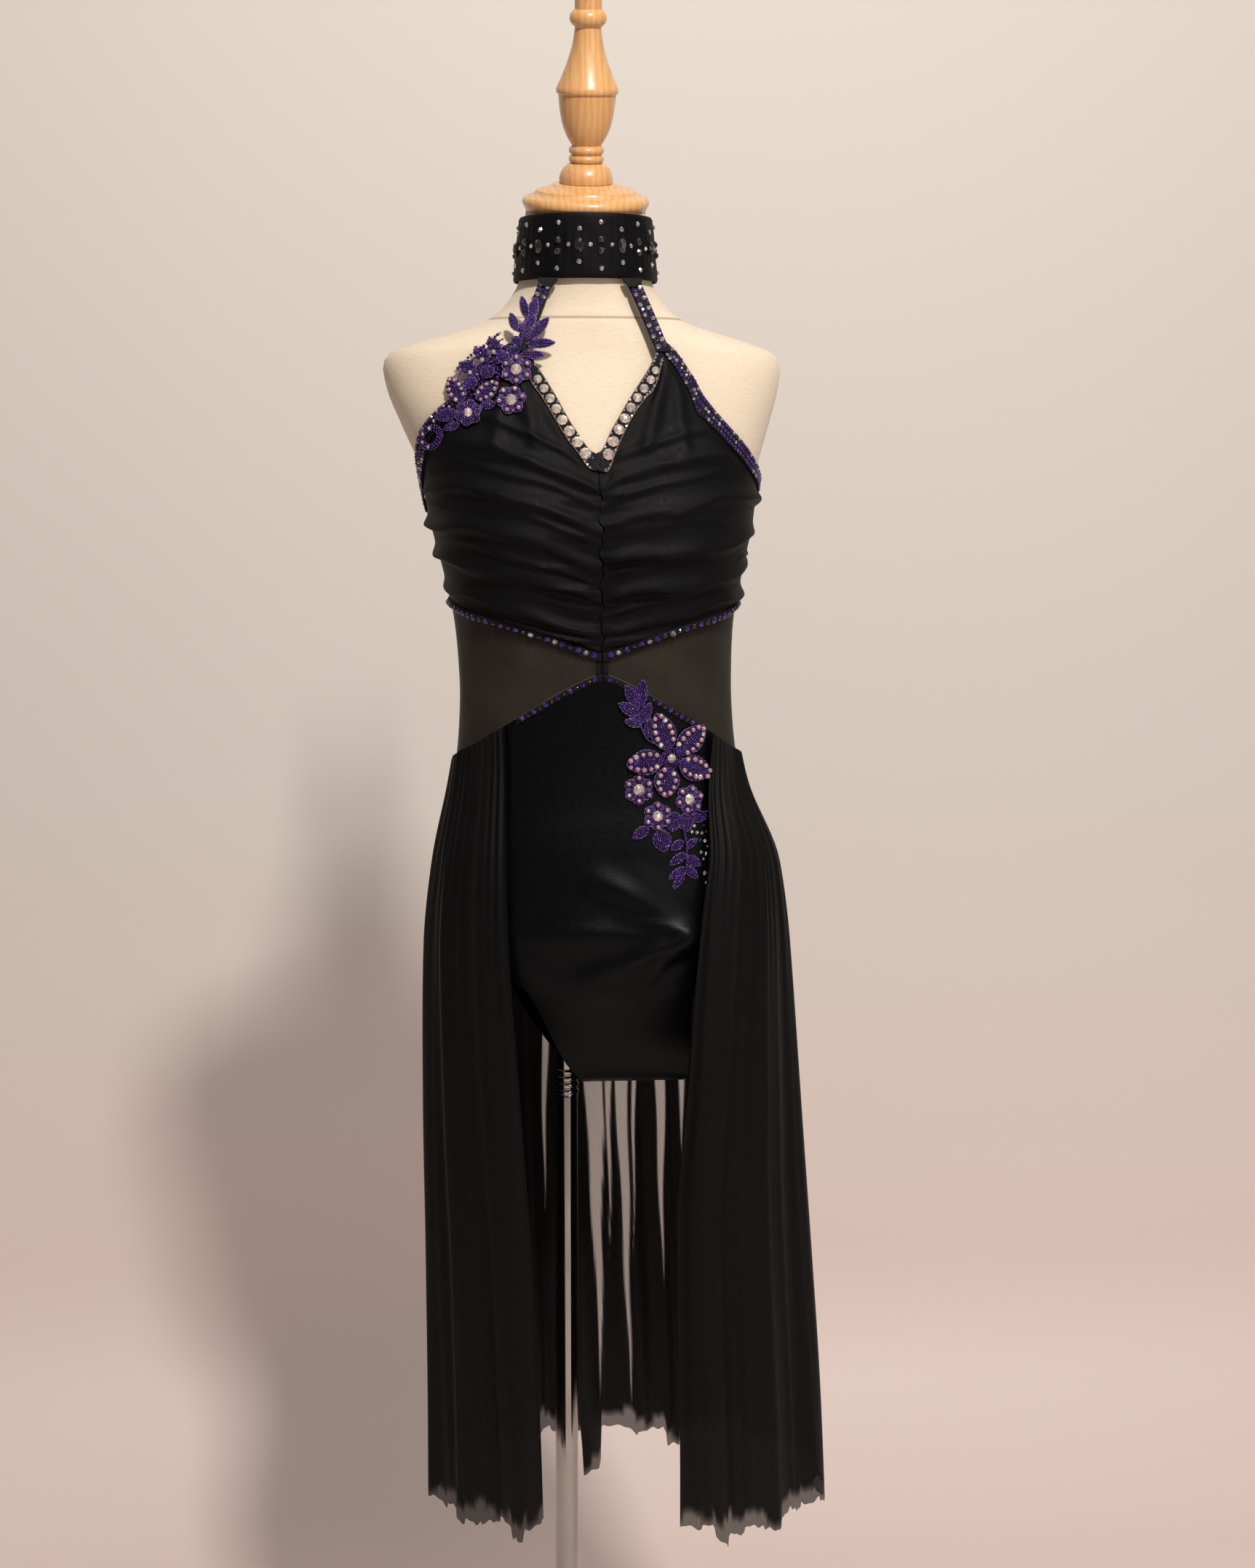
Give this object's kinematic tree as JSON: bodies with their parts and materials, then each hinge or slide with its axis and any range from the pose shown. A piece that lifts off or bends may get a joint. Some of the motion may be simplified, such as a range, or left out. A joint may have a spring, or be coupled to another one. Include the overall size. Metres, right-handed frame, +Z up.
{
  "type": "leotard dress on a limbless dress form",
  "caption": "Black sleeveless leotard dress with choker, gathered bodice, sheer waist and open-front skirt, on a linen dress form with a wooden cap and steel stand.",
  "frame": {"origin": "centre of the base's underside, on the pole's axis", "axes": "+Z up, the dress's front faces -Y, the wearer's left is at +X"},
  "size_m": [0.4081, 0.34, 1.7145],
  "materials": {
    "linen": "cream linen with fine slubs, matt",
    "turned_wood": "turned, clear lacquer",
    "bright_steel": "chromed, polished",
    "base_steel": "brushed, satin",
    "black_stretch_cloth": "black stretch jersey, soft sheen on the brief",
    "trim_cloth": "black stretch tape, set with clear, black and purple stones",
    "black_stretch_net": "sheer black mesh",
    "purple_lace": "beaded purple lace with pearls and stones"
  },
  "bodies": {
    "root": {"armhole_trim_left": "trim_cloth", "armhole_trim_right": "trim_cloth", "base_hub": "bright_steel", "base_plate": "base_steel", "bodice_back": "black_stretch_cloth", "bodice_front_left": "black_stretch_cloth", "bodice_front_right": "black_stretch_cloth", "brief_back": "black_stretch_cloth", "brief_front": "black_stretch_cloth", "brief_trim_left": "trim_cloth", "brief_trim_right": "trim_cloth", "collar": "black_stretch_cloth", "collar_hook_left": "black_stretch_cloth", "collar_hook_right": "black_stretch_cloth", "finial": "turned_wood", "form_torso": "linen", "lace_hip_flower": "purple_lace", "lace_hip_leaf_1": "purple_lace", "lace_hip_leaf_2": "purple_lace", "lace_hip_leaf_3": "purple_lace", "lace_hip_rose_1": "purple_lace", "lace_hip_rose_2": "purple_lace", "lace_hip_rose_3": "purple_lace", "lace_hip_sprig_low": "purple_lace", "lace_hip_sprig_top": "purple_lace", "lace_shoulder_edge": "purple_lace", "lace_shoulder_flower_1": "purple_lace", "lace_shoulder_flower_2": "purple_lace", "lace_shoulder_flower_3": "purple_lace", "lace_shoulder_leaf_1": "purple_lace", "lace_shoulder_leaf_2": "purple_lace", "lace_shoulder_leaf_3": "purple_lace", "lace_shoulder_leaf_4": "purple_lace", "lace_shoulder_leaf_5": "purple_lace", "lace_shoulder_leaf_6": "purple_lace", "lace_shoulder_loop": "purple_lace", "lace_shoulder_petal": "purple_lace", "lace_shoulder_sprig": "purple_lace", "midriff_back": "black_stretch_net", "midriff_left": "black_stretch_net", "midriff_right": "black_stretch_net", "neck_cap": "turned_wood", "neckline_band_left": "trim_cloth", "neckline_band_right": "trim_cloth", "pole_ferrule": "bright_steel", "pole_flange": "bright_steel", "pole_lower": "bright_steel", "pole_upper": "bright_steel", "skirt_back": "black_stretch_net", "skirt_left": "black_stretch_net", "skirt_right": "black_stretch_net", "strap_left": "trim_cloth", "strap_right": "trim_cloth", "underbust_trim_left": "trim_cloth", "underbust_trim_right": "trim_cloth"}
  },
  "joints": []
}
